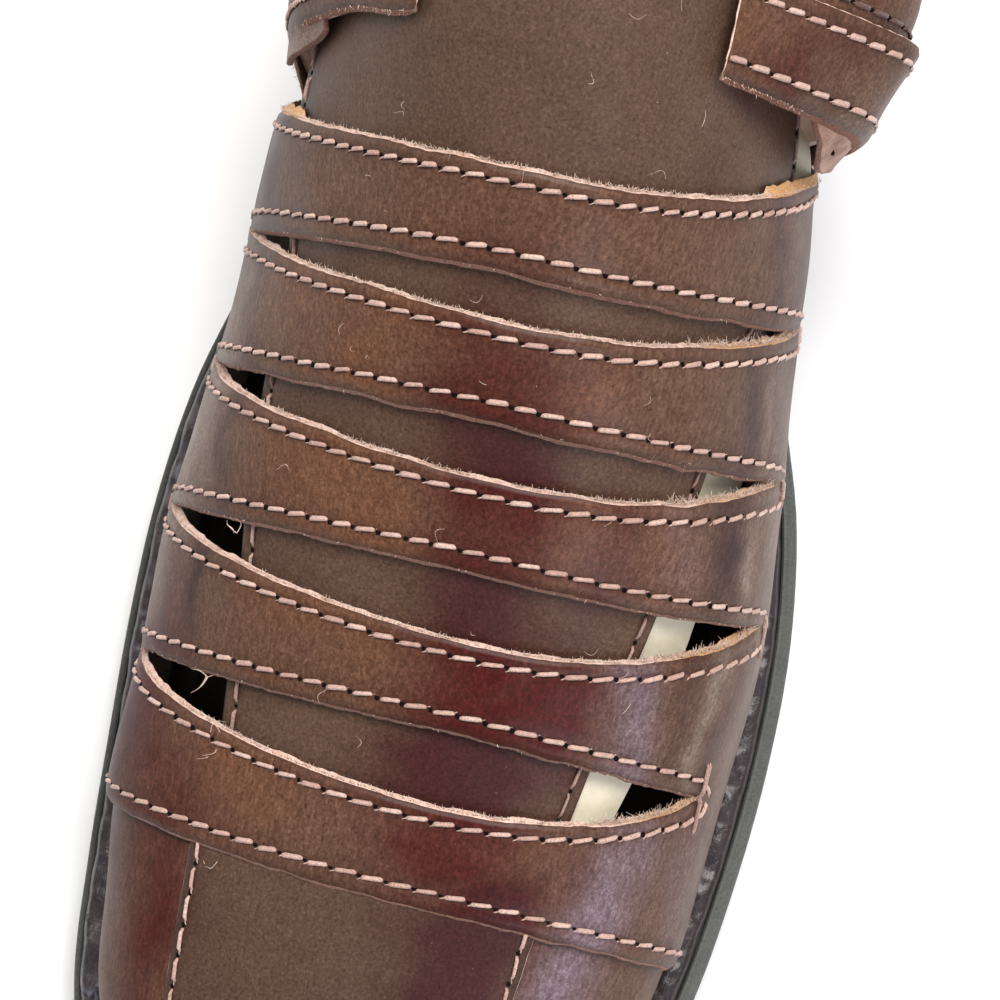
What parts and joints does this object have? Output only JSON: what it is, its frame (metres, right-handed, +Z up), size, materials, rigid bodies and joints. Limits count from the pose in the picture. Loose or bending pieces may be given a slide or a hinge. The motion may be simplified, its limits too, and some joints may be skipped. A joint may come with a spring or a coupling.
{
  "type": "loafer",
  "caption": "Slip-on leather loafer for the right foot, with glossy cross straps over a long centre panel, open slits between them, an open throat and a welted rubber sole.",
  "frame": {"origin": "centre of the outsole's outline, on the ground that the heel and forefoot rest on", "axes": "-Y towards the toe, +X towards the medial side of this right shoe, +Z up"},
  "size_m": [0.1088, 0.302, 0.1078],
  "materials": {
    "strap_leather": "glossy waxed red-brown",
    "panel_leather": "dull grey-brown",
    "welt_leather": "glossy wrinkled dark brown",
    "sole_rubber": "matt black",
    "insole_leather": "plain dark brown leather"
  },
  "bodies": {
    "root": {"outsole": "sole_rubber", "welt": "welt_leather", "insole": "insole_leather", "upper": "strap_leather", "tongue": "panel_leather"}
  },
  "joints": []
}
